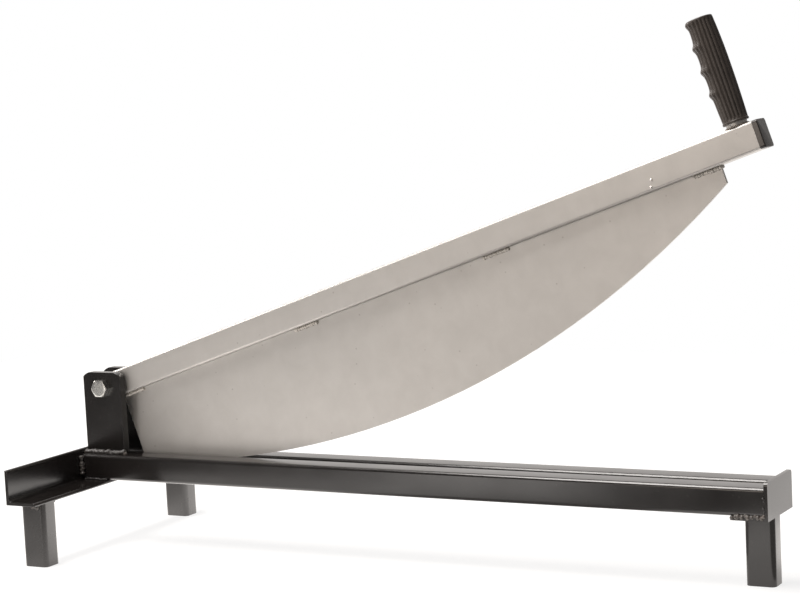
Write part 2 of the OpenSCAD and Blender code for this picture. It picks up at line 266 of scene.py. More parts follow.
# %% Weld metal
def weld_metal(name, dark, pale, rough_low=0.4, rough_high=0.65):
    material, tree, shader = new_finish(name, **{"Metallic": 1.0})
    place = object_place(tree)
    metal = colour_mix(tree, noise(tree, place, 5, 3.0), dark, pale)
    film = remap(tree, noise(tree, place, 1.2, 3.0), 0.0, 1.0, rough_low, rough_high)
    connect(tree, shader, metal, film)
    return material


# The stitches' pale steel is partly painted light, against the shade under the arm
weld_steel = weld_metal("weld_metal_pale_partly_painted_light", "#c0bbb4", "#dcd8d2")
darker_weld_steel = weld_metal("weld_metal_darker", "#7d766f", "#a09890")
spatter_steel = weld_metal("weld_metal_spatter", "#e6e2dc", "#f4f1ec", 0.15, 0.25)
print("finishes:", weld_steel.name, darker_weld_steel.name, spatter_steel.name)

# %% [markdown]
# ### Bright zinc
# The pivot bolt, its nut and the washers are bought in, with the bright zinc plating that such fasteners
# have: near white, with a cloudy gloss and a breath of blue and straw from the passivating bath. A forged
# face is never quite flat, so a wavy bump breaks up what it mirrors, and a finer one grains it.

# %% Zinc
def bright_zinc():
    material, tree, shader = new_finish("zinc_plate_bright", **{"Metallic": 1.0})
    place = object_place(tree)
    bath = noise(tree, place, 3.5, 4.0)
    plate = colour_mix(tree, bath, "#cfd2d4", "#dedad0")
    gloss = remap(tree, bath, 0.0, 1.0, 0.2, 0.36)
    wavy = bump(tree, bath, 0.5, 0.25)
    connect(tree, shader, plate, gloss, bump(tree, noise(tree, place, 0.8, 2.0), 0.15, 0.03, Normal=wavy))
    return material


zinc = bright_zinc()
print("finish:", zinc.name)

# %% [markdown]
# ### Moulded rubber and moulded plastic
# The grip is a black rubber moulding, greyed and browned a little by handling. The cap in the arm's end is
# a harder, glossier plastic moulding in dark grey, with the fine grain of its mould. Both are the same idea
# with other numbers, so one function makes them. The grain is drawn a little coarser than the real one,
# which would be finer than a pixel.

# %% Mouldings
def moulded(name, dark, pale, grain_mm, rough_low, rough_high, gloss):
    material, tree, shader = new_finish(name, **{"Specular IOR Level": gloss})
    place = object_place(tree)
    handling = noise(tree, place, 14, 4.0)
    colour = colour_mix(tree, handling, dark, pale)
    rough = remap(tree, handling, 0.0, 1.0, rough_low, rough_high)
    connect(tree, shader, colour, rough, bump(tree, noise(tree, place, grain_mm, 2.0), 0.35, 0.08))
    return material


rubber = moulded("rubber_moulded_black", "#332d29", "#4e4640", 0.7, 0.4, 0.5, 0.5)
plastic = moulded("polyethylene_moulded_grey", "#262220", "#38332f", 0.8, 0.2, 0.28, 0.6)
print("finishes:", rubber.name, plastic.name)

# %% [markdown]
# ## Cut and rounded metalwork
# Rails, legs, angles, uprights, arm and blade have the right shape already, but their edges are
# mathematically sharp, and a sharp edge catches no light. On the real machine a saw burr was filed off and
# paint rounds every corner. So each gets a copy whose loose triangles are merged, whose flat faces are
# made whole, and whose sharp edges are bevelled by a real radius. The copy then stands for the node.
# Angle iron is hot-rolled, so the toes of its flanges and the root between them are rounder than a sawn
# end. A test on where an edge lies picks those, and they get a wider bevel, by weight, before the others.

# %% Helpers for pieces
MERGE = 0.001 * MM
NEAR = 0.01 * MM
FLAT_ENOUGH = math.radians(0.3)
SHARP = math.radians(35)


def new_piece(name, mesh):
    obj = bpy.data.objects.new(name, mesh)
    bpy.context.scene.collection.objects.link(obj)
    return obj


def keep_evaluated(obj):
    """Gives the object the plain mesh that its modifiers make, and removes them."""
    depsgraph = bpy.context.evaluated_depsgraph_get()
    mesh = bpy.data.meshes.new_from_object(obj.evaluated_get(depsgraph))
    obj.modifiers.clear()
    obj.data = mesh
    mesh.name = obj.name
    return obj


def dress(obj, finish, body, slot, *nodes):
    """Puts the finish on a piece, and says what it rides on and which nodes it stands for."""
    obj.data.materials.clear()
    obj.data.materials.append(finish)
    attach(obj, body)
    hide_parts(*nodes)
    print(obj.name, "faces:", len(obj.data.polygons))
    return obj


def bevelled(obj, radius, **settings):
    """Adds a bevel of this radius; the settings say which edges it takes."""
    bevel = obj.modifiers.new("Rounded edges", "BEVEL")
    bevel.width = radius
    bevel.segments = 3
    bevel.harden_normals = True
    for key, value in settings.items():
        setattr(bevel, key, value)


def rounded_copy(node, name, radius_mm, wide_mm=0.0, wide=None):
    """A copy of a node with whole faces and rounded edges.

    Edges whose ends both pass the test wide are rounded by wide_mm first.
    """
    work = bmesh.new()
    work.from_mesh(frame["nodes"][node].data)
    bmesh.ops.remove_doubles(work, verts=work.verts, dist=MERGE)
    bmesh.ops.dissolve_limit(work, angle_limit=FLAT_ENOUGH, verts=work.verts, edges=work.edges)
    weight = work.edges.layers.float.new("bevel_weight_edge")
    for edge in work.edges:
        edge[weight] = 1.0 if wide and all(wide(v.co) for v in edge.verts) else 0.0
    mesh = bpy.data.meshes.new(name)
    work.to_mesh(mesh)
    work.free()
    if "custom_normal" in mesh.attributes:
        mesh.attributes.remove(mesh.attributes["custom_normal"])
    mesh.shade_smooth()
    obj = new_piece(name, mesh)
    if wide:
        bevelled(obj, wide_mm * MM, limit_method="WEIGHT", segments=6, harden_normals=False)
    bevelled(obj, radius_mm * MM, limit_method="ANGLE", angle_limit=SHARP)
    return keep_evaluated(obj)


# %% Places of the bed
rail_lo, rail_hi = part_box("front_rail")
cross_lo, cross_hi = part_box("cross_angle")
end_lo, end_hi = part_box("end_angle")
upright_lo, upright_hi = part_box("front_upright")
ANGLE_T = 4 * MM
RAIL_CORNER = 4 * MM
FRAME_LEG = 4.25 * MM
bed_half = -rail_lo.y
bed_bottom, bed_top = rail_lo.z, rail_hi.z
upstand = cross_lo.x + ANGLE_T
rail_end = end_hi.x - ANGLE_T
print("bed, mm:", round(bed_half / MM, 2), round(bed_bottom / MM, 2), round(bed_top / MM, 2))

# %% Painted frame
PAINTED = {
    "front_rail": ("bed_rail_front", 0.3),
    "rear_rail": ("bed_rail_rear", 0.3),
    "cross_angle": ("cross_angle_iron", 0.7),
    "end_angle": ("end_angle_iron", 0.7),
    "front_left_leg": ("leg_front_left", 0.4),
    "rear_left_leg": ("leg_rear_left", 0.4),
    "right_leg": ("leg_right", 0.4),
    "front_upright": ("upright_front", 0.9),
    "rear_upright": ("upright_rear", 0.9),
}
ROLLED_TOES = {
    "cross_angle": [(cross_hi.x, bed_bottom), (upstand, cross_hi.z), (upstand, bed_bottom)],
    "end_angle": [(end_lo.x, bed_bottom), (rail_end, end_hi.z)],
}
TOE_MM = 2.8


def at_toes(toes):
    """A test for points on one of these lines across the bed, each given by its X and Z."""
    return lambda p: any(abs(p.x - x) < NEAR and abs(p.z - z) < NEAR for x, z in toes)


for node, (name, radius) in PAINTED.items():
    coat = satin_enamel if "left_leg" in node else enamel
    wide = at_toes(ROLLED_TOES[node]) if node in ROLLED_TOES else None
    dress(rounded_copy(node, name, radius, TOE_MM, wide), coat, "frame", "black_paint", node)

# %% Bare lever
BARE = {
    "arm_tube": ("lever_arm", 0.35),
    "blade": ("shear_blade", 0.3),
    "handle_bar": ("grip_bar", 0.3),
    "pivot_sleeve": ("arm_sleeve", 0.3),
}
for node, (name, radius) in BARE.items():
    dress(rounded_copy(node, name, radius), steel, "lever", "bare_steel", node)

# %% [markdown]
# ## Weld beads
# A bead is a row of frozen puddles, each laid half over the one before. It could be a tube with a wavy
# radius, but then every ripple is alike. Geometry Nodes lay a slightly different puddle at every step of
# a path instead, melt them together as a volume, and skin that. The skin is then softened, because molten
# metal flows, and a fine noise lifts a crust of slag on it. The path is a plain line of edges just outside
# the corner that the weld fills, and the puddles' own seed keeps each run the same.

# %% Helpers for trees
def new_tree(name, inputs, output):
    """A Geometry Nodes tree with these named inputs and types, and one output; gives its input sockets."""
    tree = bpy.data.node_groups.new(name, "GeometryNodeTree")
    for key, kind in inputs.items():
        tree.interface.new_socket(key, in_out="INPUT", socket_type="NodeSocket" + kind)
    tree.interface.new_socket(output, in_out="OUTPUT", socket_type="NodeSocketGeometry")
    return tree, add(tree, "NodeGroupInput").outputs


def end_tree(tree, geometry, material, output):
    """Ends a tree with real geometry that carries its material."""
    whole = add(tree, "GeometryNodeRealizeInstances", {"Geometry": geometry}).outputs["Geometry"]
    coloured = add(tree, "GeometryNodeSetMaterial", {"Geometry": whole, "Material": material})
    add(tree, "NodeGroupOutput", {output: coloured.outputs["Geometry"]})
    return tree


def calc(tree, operation, a, b=0.0):
    """The result of one Math node."""
    return add(tree, "ShaderNodeMath", {0: a, 1: b}, operation=operation).outputs[0]


def run_tree(obj, tree, values):
    """Adds the tree to the object with its inputs set by identifier, and keeps the mesh it makes."""
    modifier = obj.modifiers.new(tree.name, "NODES")
    modifier.node_group = tree
    for item in tree.interface.items_tree:
        if item.in_out == "INPUT" and item.name in values:
            modifier[item.identifier] = values[item.name]
    return keep_evaluated(obj)


# %% The weld tree
BEAD_INPUTS = {
    "Path": "Geometry", "Puddle radius": "Float", "Step": "Float", "Unevenness": "Float",
    "Puddle length": "Float", "Softness": "Int", "Crust": "Float", "Voxel": "Float", "Seed": "Int",
    "Metal": "Material",
}
MELT_BAND = 0.002
SKIN_AT = 0.05


def weld_tree():
    tree, given = new_tree("Weld bead", BEAD_INPUTS, "Bead")
    uneven = given["Unevenness"]
    path = add(tree, "GeometryNodeMeshToCurve", {"Mesh": given["Path"]})
    steps = add(tree, "GeometryNodeResampleCurve", {
        "Curve": path.outputs["Curve"], "Length": given["Step"],
    }, mode="LENGTH")

    # Each puddle strays a little from the path, and is a little larger or smaller than the next
    stray = calc(tree, "MULTIPLY", given["Puddle radius"], uneven)
    wander = add(tree, "FunctionNodeRandomValue", {
        0: calc(tree, "MULTIPLY", stray, -1.0), 1: stray, "Seed": given["Seed"],
    }, data_type="FLOAT_VECTOR")
    laid = add(tree, "GeometryNodeSetPosition", {
        "Geometry": steps.outputs["Curve"], "Offset": wander.outputs[0],
    })
    puddle = add(tree, "GeometryNodeMeshIcoSphere", {"Radius": given["Puddle radius"], "Subdivisions": 3})
    tangent = add(tree, "GeometryNodeInputTangent").outputs["Tangent"]
    turn = add(tree, "FunctionNodeAlignRotationToVector", {"Vector": tangent}, axis="X")
    size = add(tree, "FunctionNodeRandomValue", {
        2: calc(tree, "SUBTRACT", 1.0, uneven), 3: calc(tree, "ADD", 1.0, uneven), "Seed": given["Seed"],
    }, data_type="FLOAT").outputs[1]
    form = add(tree, "ShaderNodeCombineXYZ", {"X": given["Puddle length"], "Y": size, "Z": size})
    row = add(tree, "GeometryNodeInstanceOnPoints", {
        "Points": laid.outputs["Geometry"], "Instance": puddle.outputs["Mesh"],
        "Rotation": turn.outputs["Rotation"], "Scale": form.outputs["Vector"],
    })

    # The puddles melt into one volume, whose skin flows and then crusts
    poured = add(tree, "GeometryNodeRealizeInstances", {"Geometry": row.outputs["Instances"]})
    melt = add(tree, "GeometryNodeMeshToVolume", {
        "Mesh": poured.outputs["Geometry"], "Voxel Size": given["Voxel"], "Interior Band Width": MELT_BAND,
    }, resolution_mode="VOXEL_SIZE")
    skin = add(tree, "GeometryNodeVolumeToMesh", {
        "Volume": melt.outputs["Volume"], "Threshold": SKIN_AT,
    }, resolution_mode="GRID")
    place = add(tree, "GeometryNodeInputPosition").outputs["Position"]
    flowed = add(tree, "GeometryNodeBlurAttribute", {
        "Value": place, "Iterations": given["Softness"],
    }, data_type="FLOAT_VECTOR")
    settled = add(tree, "GeometryNodeSetPosition", {
        "Geometry": skin.outputs["Mesh"], "Position": flowed.outputs["Value"],
    })
    slag = calc(tree, "SUBTRACT", noise(tree, place, 2.2, 2.0), 0.5)
    normal = add(tree, "GeometryNodeInputNormal").outputs["Normal"]
    outward = add(tree, "ShaderNodeVectorMath", {
        0: normal, "Scale": calc(tree, "MULTIPLY", slag, given["Crust"]),
    }, operation="SCALE")
    crusted = add(tree, "GeometryNodeSetPosition", {
        "Geometry": settled.outputs["Geometry"], "Offset": outward.outputs["Vector"],
    })
    smooth = add(tree, "GeometryNodeSetShadeSmooth", {"Geometry": crusted.outputs["Geometry"]})
    return end_tree(tree, smooth.outputs["Geometry"], given["Metal"], "Bead")


bead_tree = weld_tree()
print("tree:", bead_tree.name, len(bead_tree.nodes), "nodes")

# %% Helpers for welds
PATH_OUT = 0.34
PUDDLE = 0.62
SOFTNESS = 6
VOXEL = 0.07


def lines_mesh(name, lines):
    """A mesh of edges along each list of points."""
    points, edges = [], []
    for line in lines:
        first = len(points)
        points += [tuple(p) for p in line]
        edges += [(first + i, first + i + 1) for i in range(len(line) - 1)]
    mesh = bpy.data.meshes.new(name)
    mesh.from_pydata(points, edges, [])
    return mesh


def corner_line(start, end, out_a, out_b, leg):
    """A weld's path: along a corner, set out from it towards both open sides."""
    shift = (Vector(out_a) + Vector(out_b)) * leg * PATH_OUT
    return [Vector(start) + shift, Vector(end) + shift]


def lay_welds(name, lines, leg, finish, seed, step=0.8, unevenness=0.3, length=0.8, crust=0.3):
    """Puddles along the lines; step and crust are shares of the leg, length of a puddle's width."""
    obj = new_piece(name, lines_mesh(name, lines))
    return run_tree(obj, bead_tree, {
        "Puddle radius": leg * PUDDLE, "Step": leg * step, "Unevenness": unevenness, "Puddle length": length,
        "Softness": SOFTNESS, "Crust": leg * crust, "Voxel": leg * VOXEL, "Seed": seed, "Metal": finish,
    })


def frame_weld(node, name, lines, leg, finish, seed, **shape):
    """Beads on the painted frame, which stand for the node."""
    dress(lay_welds(name, lines, leg, finish, seed, **shape), finish, "frame", "black_paint", node)


def lever_weld(node, name, lines, leg, finish, seed, **shape):
    """Bare beads on the lever, drawn along the arm and then carried to its place."""
    beads = lay_welds(name, lines, leg, finish, seed, **shape)
    beads.data.transform(on_arm)
    dress(beads, finish, "lever", "bare_steel", node)


# %% [markdown]
# ### Welds of the frame
# The rails butt against the upstand of each angle iron and lie on its flange, so each joint has an upright
# bead and a level one. At the right end the rail's front is flush with the angle, and a welder covers such
# a seam by weaving across it. The legs have beads on their near and far sides, and the front left one has
# a lump of weld under its near bead. The uprights' foot beads are the heaviest, with a crater at each end.

# %% Welds of the cross angle
UP, DOWN, RIGHT, LEFT = (0, 0, 1), (0, 0, -1), (1, 0, 0), (-1, 0, 0)
FLAT_LEG = 2.6 * MM
lines, flat_lines = [], []
for side in (-1, 1):
    y, out = side * bed_half, (0, side, 0)
    low, high = (upstand, y, bed_bottom + 2 * RAIL_CORNER), (upstand, y, bed_top - RAIL_CORNER)
    lines.append(corner_line(low, high, RIGHT, out, FRAME_LEG))
    inner, outer = (upstand + FRAME_LEG, y, bed_bottom), (cross_hi.x - ANGLE_T / 2, y, bed_bottom)
    flat_lines.append(corner_line(inner, outer, UP, out, FLAT_LEG))
frame_weld("cross_angle_welds", "weld_beads_cross_upstand", lines, FRAME_LEG, weld_enamel_wear_and_highlights, 3,
           step=0.6, unevenness=0.4)
frame_weld("cross_angle_welds", "weld_beads_cross_flange", flat_lines, FLAT_LEG, enamel, 4)

# %% Welds of the end angle
SEAM_WEAVE = 0.9 * MM
SEAM_STEP = 2.6 * MM
SEAM_SINK = 0.9 * MM


def woven_line(start, end, across):
    """A path that weaves from side to side, as a welder covers a flush seam."""
    start, end, across = Vector(start), Vector(end), Vector(across)
    turns = max(2, round((end - start).length / SEAM_STEP))
    swing = [across * SEAM_WEAVE * (1 if i % 2 else -1) for i in range(turns + 1)]
    return [start.lerp(end, i / turns) + swing[i] for i in range(turns + 1)]


front = -bed_half + SEAM_SINK
seam_low, seam_high = bed_bottom + RAIL_CORNER, bed_top - RAIL_CORNER
toe = end_lo.x + ANGLE_T / 2
seam = woven_line((rail_end, front, seam_low), (rail_end, front, seam_high), RIGHT)
out = (0, 1, 0)
lines = [
    woven_line((toe, front, bed_bottom), (rail_end, front, bed_bottom), UP),
    corner_line((rail_end, bed_half, seam_low), (rail_end, bed_half, seam_high), LEFT, out, FRAME_LEG),
    corner_line(
        (toe, bed_half, bed_bottom), (rail_end - FRAME_LEG, bed_half, bed_bottom), UP, out, FRAME_LEG),
]
frame_weld("end_angle_welds", "weld_beads_end_flange", lines, FRAME_LEG, weld_enamel_palest_lit_copy, 5, step=0.9, length=0.9)
frame_weld("end_angle_welds", "weld_beads_end_upstand", [seam], FLAT_LEG, enamel, 6,
           step=0.9, unevenness=0.35)

# %% Welds of the legs
LEG_CORNER = 5.5 * MM
LUMP_ASIDE = 2 * MM
LUMP_OUT = 1 * MM
LUMP_LEN = 7 * MM
lines = []
for leg in ("front_left_leg", "rear_left_leg", "right_leg"):
    lo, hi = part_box(leg)
    for y, out in ((lo.y, (0, -1, 0)), (hi.y, (0, 1, 0))):
        lines.append(corner_line(
            (lo.x + LEG_CORNER, y, hi.z), (hi.x - LEG_CORNER, y, hi.z), out, DOWN, FRAME_LEG))
lo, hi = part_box("front_left_leg")
lump_x, lump_y, lump_z = (lo.x + hi.x) / 2 + LUMP_ASIDE, lo.y - LUMP_OUT, hi.z - FRAME_LEG
lines.append([(lump_x, lump_y, lump_z), (lump_x + LUMP_LEN, lump_y, lump_z)])
frame_weld("leg_welds", "weld_beads_legs", lines, FRAME_LEG, weld_enamel_wear_and_highlights, 7)

# %% Welds of the uprights
FOOT_LEG = 5.2 * MM
CRATER_OUT = 2 * MM
CRATER_UP = 1 * MM
CRATER_LEN = 1 * MM
upright_out = -upright_lo.y
crater_z = bed_top + CRATER_UP
lines, craters = [], []
for side in (-1, 1):
    y = side * upright_out
    left, right = (upright_lo.x, y, bed_top), (upright_hi.x, y, bed_top)
    lines.append(corner_line(left, right, (0, side, 0), UP, FOOT_LEG))
    y += side * CRATER_OUT
    for x in (upright_lo.x - 1.5 * MM, upright_hi.x + 0.5 * MM):
        craters.append([(x, y, crater_z), (x + CRATER_LEN, y, crater_z)])
frame_weld("upright_welds", "weld_beads_uprights", lines, FOOT_LEG, weld_enamel_darkest, 11,
           step=0.75, unevenness=0.22, length=1.1)
frame_weld("upright_welds", "weld_craters_uprights", craters, FRAME_LEG, weld_enamel_palest_lit_copy, 12)

# %% [markdown]
# ### Welds of the lever
# Four short stitches on each side hold the blade, because one long bead would warp so thin a plate. They
# hang a little lower than a plain corner weld, since the arm's edge would hide them. While they were laid,
# two drops of molten steel flew on to the arm's near face. A neat ring of weld holds the grip's bar.

# %% Stitches between blade and arm
STITCH_LEG = 4 * MM
STITCH_LEN = 30 * MM
STITCHES = 4
STITCH_OUT = 0.6
STITCH_DOWN = (0, 0, -1.3)
blade_lo, blade_hi = box_on_arm("blade")
step = (blade_hi.x - blade_lo.x - STITCH_LEN) / (STITCHES - 1)
lines = []
for i in range(STITCHES):
    u = blade_lo.x + i * step
    for side, y in ((-1, blade_lo.y), (1, blade_hi.y)):
        start, end = (u, y, arm_lo.z), (u + STITCH_LEN, y, arm_lo.z)
        lines.append(corner_line(start, end, (0, STITCH_OUT * side, 0), STITCH_DOWN, STITCH_LEG))
lever_weld("blade_welds", "weld_stitches_blade", lines, STITCH_LEG, weld_steel, 13,
           step=0.7, unevenness=0.14, crust=0.12)

# %% Spatter on the arm
SPATTER = [(733.3 * MM, -4.1 * MM), (730.5 * MM, -11.2 * MM)]
SPATTER_LEG = 2.6 * MM
DROP_LEN = 0.4 * MM
drops = [[(u, arm_lo.y, w), (u + DROP_LEN, arm_lo.y, w)] for u, w in SPATTER]
lever_weld("blade_welds", "weld_spatter_arm", drops, SPATTER_LEG, spatter_steel, 19,
           unevenness=0.1, length=1.0, crust=0.1)

# %% Ring round the grip's bar
RING_LEG = 2 * MM
RING_POINTS = 48
bar_lo, bar_hi = box_on_arm("handle_bar")
bar_u, bar_r = (bar_lo.x + bar_hi.x) / 2, (bar_hi.x - bar_lo.x) / 2
ring_r = bar_r + RING_LEG * PATH_OUT
ring_z = bar_lo.z + RING_LEG * PATH_OUT
angles = [2 * math.pi * i / RING_POINTS for i in range(RING_POINTS + 1)]
ring = [(bar_u + ring_r * math.cos(a), ring_r * math.sin(a), ring_z) for a in angles]
lever_weld("handle_weld", "weld_ring_grip_bar", [ring], RING_LEG, darker_weld_steel, 17, unevenness=0.1, crust=0.1)

# %% [markdown]
# ## The pivot bolt and its nut
# Bolt and nut are turned and forged shapes: rings of points around one axis. A hexagon is such a ring
# whose radius changes with the angle, its chamfer is a height that drops where the radius is large, and a
# thread is a radius that climbs as a helix. So one function skins a list of rings, and each ring says its
# radius and height at an angle. The head carries no marks.

# %% Turned pieces
AROUND = 120


def turned(name, rings, closed_loop=False, around=AROUND):
    """Skins rings about Z. A ring gives (radius, height) at an angle; the ends are capped, or joined."""
    work = bmesh.new()
    angles = [2 * math.pi * i / around for i in range(around)]
    loops = []
    for ring in rings:
        around_ring = [(a, *ring(a)) for a in angles]
        loops.append([work.verts.new((r * math.cos(a), r * math.sin(a), z)) for a, r, z in around_ring])
    pairs = list(zip(loops, loops[1:]))
    if closed_loop:
        pairs.append((loops[-1], loops[0]))
    for low, high in pairs:
        for i in range(around):
            j = (i + 1) % around
            work.faces.new((low[i], low[j], high[j], high[i]))
    if not closed_loop:
        work.faces.new(list(reversed(loops[0])))
        work.faces.new(loops[-1])
    bmesh.ops.recalc_face_normals(work, faces=work.faces)
    mesh = bpy.data.meshes.new(name)
    work.to_mesh(mesh)
    work.free()
    mesh.shade_smooth()
    mesh.set_sharp_from_angle(angle=SHARP)
    return new_piece(name, mesh)


def circle(radius, height):
    return lambda angle: (radius, height)


def hexagon_radius(flats, angle):
    """Radius of a hexagon at an angle, with a corner at angle 0."""
    sixth = math.pi / 3
    return flats / 2 / math.cos((angle % sixth) - sixth / 2)


CHAMFER_SLOPE = math.tan(math.radians(28))


def hexagon(flats, height, chamfer_from=None, direction=1):
    """A hexagonal ring; past chamfer_from its height falls away along the chamfer."""
    def ring(angle):
        r = hexagon_radius(flats, angle)
        drop = 0 if chamfer_from is None else max(0, r - chamfer_from) * CHAMFER_SLOPE
        return r, height - direction * drop
    return ring


# %% The bolt
FLATS = 19 * MM
BOLT_R = 6 * MM
HEAD_H = 7.5 * MM
THREAD_PITCH = 1.75 * MM
THREAD_DEPTH = 0.95 * MM
THREAD_SHOWN = 16 * MM
THREAD_STEPS = 14
bolt_lo, bolt_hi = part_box("pivot_bolt")
tip = bolt_hi.y - bolt_lo.y


def thread(height):
    def ring(angle):
        climb = (height / THREAD_PITCH - angle / (2 * math.pi)) % 1
        lead_out = min(1, max(0, (tip - height) / (1.2 * THREAD_PITCH)))
        crest = BOLT_R - (1 - lead_out) * THREAD_DEPTH
        return min(crest, BOLT_R - THREAD_DEPTH * (1 - abs(2 * climb - 1))), height
    return ring


def bolt_rings():
    head = FLATS / 2 - 0.25 * MM
    rings = [circle(0.4 * head, 0.0), circle(0.82 * head, 0.0), circle(head, 0.0)]
    rings.append(hexagon(FLATS, 0.0, head, -1))
    rings.append(hexagon(FLATS, HEAD_H))
    rings.append(circle(BOLT_R, HEAD_H))
    rings.append(circle(BOLT_R, tip - THREAD_SHOWN))
    count = round(THREAD_SHOWN / THREAD_PITCH * THREAD_STEPS)
    for i in range(1, count + 1):
        rings.append(thread(tip - THREAD_SHOWN + THREAD_SHOWN * i / count))
    return rings


bolt = turned("bolt_pivot", bolt_rings())
along_pivot = Matrix.Translation((pivot.x, bolt_lo.y, pivot.z)) @ Matrix.Rotation(-math.pi / 2, 4, "X")
bolt.data.transform(along_pivot)
dress(bolt, zinc, "frame", "zinc_plate", "pivot_bolt")

# %% The lock nut
nut_lo, nut_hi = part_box("pivot_nut")
NUT_H = nut_hi.y - nut_lo.y
COLLAR_H = 4 * MM
COLLAR_R = 8.25 * MM
BORE_R = BOLT_R + 0.05 * MM
seat = FLATS / 2 - 0.7 * MM
hex_h = NUT_H - COLLAR_H
nut = turned("nut_pivot_lock", [
    circle(BORE_R, 0), circle(seat, 0), hexagon(FLATS, 0, seat, -1), hexagon(FLATS, hex_h, seat),
    circle(COLLAR_R, hex_h), circle(COLLAR_R, NUT_H - 1.2 * MM),
    circle(COLLAR_R - 0.5 * MM, NUT_H - 0.3 * MM), circle(COLLAR_R - 1.2 * MM, NUT_H),
    circle(BORE_R + 0.6 * MM, NUT_H), circle(BORE_R, NUT_H - 0.5 * MM),
], closed_loop=True)
nut.data.transform(Matrix.Translation((pivot.x, nut_lo.y, pivot.z)) @ Matrix.Rotation(-math.pi / 2, 4, "X"))
dress(nut, zinc, "frame", "zinc_plate", "pivot_nut")

# %% Washers
WASHER_EDGE = 0.35
washer = rounded_copy("nut_washer", "washer_under_nut", WASHER_EDGE)
dress(washer, zinc, "frame", "zinc_plate", "nut_washer")
spacers = rounded_copy("spacer_washers", "washers_beside_arm", WASHER_EDGE)
dress(spacers, zinc, "lever", "zinc_plate", "spacer_washers")

# %% [markdown]
# ## The cap in the arm's end
# A plastic plug closes the tube, with a head as large as the tube. The near corner of its end face is
# rounder than its other edges, and in the photograph it is a dark line between two grey faces. A test
# picks that corner, with the short arcs at its ends, for a wider rounding.

# %% Cap
CAP_NEAR = 3.2 * MM
CAP_EDGE = 0.3
CAP_CORNER = 1.7
cap_lo, cap_hi = box_on_arm("arm_end_cap")
to_arm = on_arm.inverted()


def at_near_corner(point):
    """Whether a point of the cap is on its end face, close to the near side."""
    return (to_arm @ point).x > cap_hi.x - NEAR and point.y < cap_lo.y + CAP_NEAR


cap = rounded_copy("arm_end_cap", "cap_arm_end", CAP_EDGE, CAP_CORNER, at_near_corner)
dress(cap, plastic, "lever", "grey_plastic", "arm_end_cap")

# %% [markdown]
# ## The rubber grip
# The grip is a sleeve with a closed top. It swells towards the palm like a barrel, with flutes all round
# and four ridges that part the fingers on the side towards the pivot. Drawing the flutes by hand would be
# dull and uneven. The sleeve is turned as a plain blank first, and a Geometry Nodes tree then moves each
# point in or out by a rule of its angle and height: the ribs follow the cosine of the angle, and the ridges
# follow the height on one side only.

# %% The grip's blank
grip_lo, grip_hi = box_on_arm("hand_grip")
GRIP_LEN = grip_hi.z - grip_lo.z
GRIP_R_FOOT = 13.1 * MM
GRIP_R_PALM = 14.8 * MM
GRIP_R_TOP = 13.3 * MM
PALM_AT = 68 * MM
GRIP_EDGE = 1.3 * MM
RIM_H = 2.4 * MM
RIM_OUT = 0.7 * MM
GRIP_END = 5 * MM
GRIP_BORE = bar_r + 0.05 * MM
GRIP_AROUND = 288
GRIP_STEP = 0.9 * MM
TOP_DOME = 0.6 * MM


def palm_radius(height):
    """The grip swells towards the palm and narrows to both ends."""
    if height < PALM_AT:
        return GRIP_R_PALM - (GRIP_R_PALM - GRIP_R_FOOT) * ((PALM_AT - height) / PALM_AT) ** 2
    return GRIP_R_PALM - (GRIP_R_PALM - GRIP_R_TOP) * ((height - PALM_AT) / (GRIP_LEN - PALM_AT)) ** 2


def grip_blank_rings():
    rim = GRIP_R_FOOT + RIM_OUT
    rings = [circle(0.3 * GRIP_BORE, GRIP_LEN - GRIP_END), circle(GRIP_BORE, GRIP_LEN - GRIP_END)]
    rings += [circle(GRIP_BORE, 0), circle(rim - 0.4 * MM, 0), circle(rim, 0.4 * MM)]
    rings += [circle(rim, RIM_H - 0.6 * MM), circle(GRIP_R_FOOT + 0.2 * MM, RIM_H)]
    body = GRIP_LEN - TOP_DOME - GRIP_EDGE
    count = round((body - RIM_H) / GRIP_STEP)
    heights = [RIM_H + (body - RIM_H) * i / count for i in range(1, count + 1)]
    rings += [circle(palm_radius(h), h) for h in heights]
    top = palm_radius(body)
    for i in range(1, 7):
        a = math.pi / 2 * i / 6
        rings.append(circle(top - GRIP_EDGE * (1 - math.cos(a)), body + GRIP_EDGE * math.sin(a)))
    for share in (0.66, 0.33, 0.02):
        rings.append(circle((top - GRIP_EDGE) * share, GRIP_LEN - TOP_DOME * share ** 2))
    return rings


grip = turned("grip_rubber", grip_blank_rings(), around=GRIP_AROUND)
print("grip blank, mm:", round(GRIP_LEN / MM, 1), "points:", len(grip.data.vertices))


# %% The grip's tree
GRIP_INPUTS = {"Blank": "Geometry", "Rubber": "Material"}
for name in ("Ribs", "Rib depth", "Rib start", "Rib end", "First ridge", "Ridge pitch", "Ridges",
             "Ridge height", "Ridge width", "Scallop", "Bore"):
    GRIP_INPUTS[name] = "Float"
RIB_FADE = 3 * MM
FINGER_CALM = 0.45


